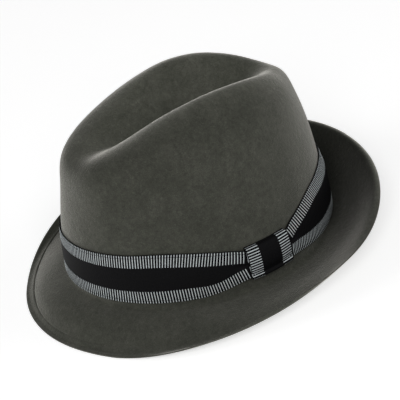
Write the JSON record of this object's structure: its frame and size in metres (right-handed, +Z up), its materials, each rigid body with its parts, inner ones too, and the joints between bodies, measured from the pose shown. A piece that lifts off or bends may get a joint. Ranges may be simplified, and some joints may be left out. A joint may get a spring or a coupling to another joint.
{
  "type": "trilby",
  "caption": "Wool felt trilby with a lengthwise dent in a tapered crown, a narrow snapped-down brim turned up behind, and a striped ribbon band with a flat bow wrap",
  "frame": {"origin": "on the surface that the hat stands on, under the middle of the whole hat", "axes": "+Z up, the front of the hat towards -Y, the bow on the wearer's left towards +X"},
  "size_m": [0.2568, 0.2684, 0.1328],
  "materials": {
    "felt": "matte pressed wool felt",
    "ribbon": "black grosgrain ribbon with striped borders"
  },
  "bodies": {
    "root": {"felt_hat": "felt", "ribbon_band": "ribbon", "bow_wrap": "ribbon"}
  },
  "joints": []
}
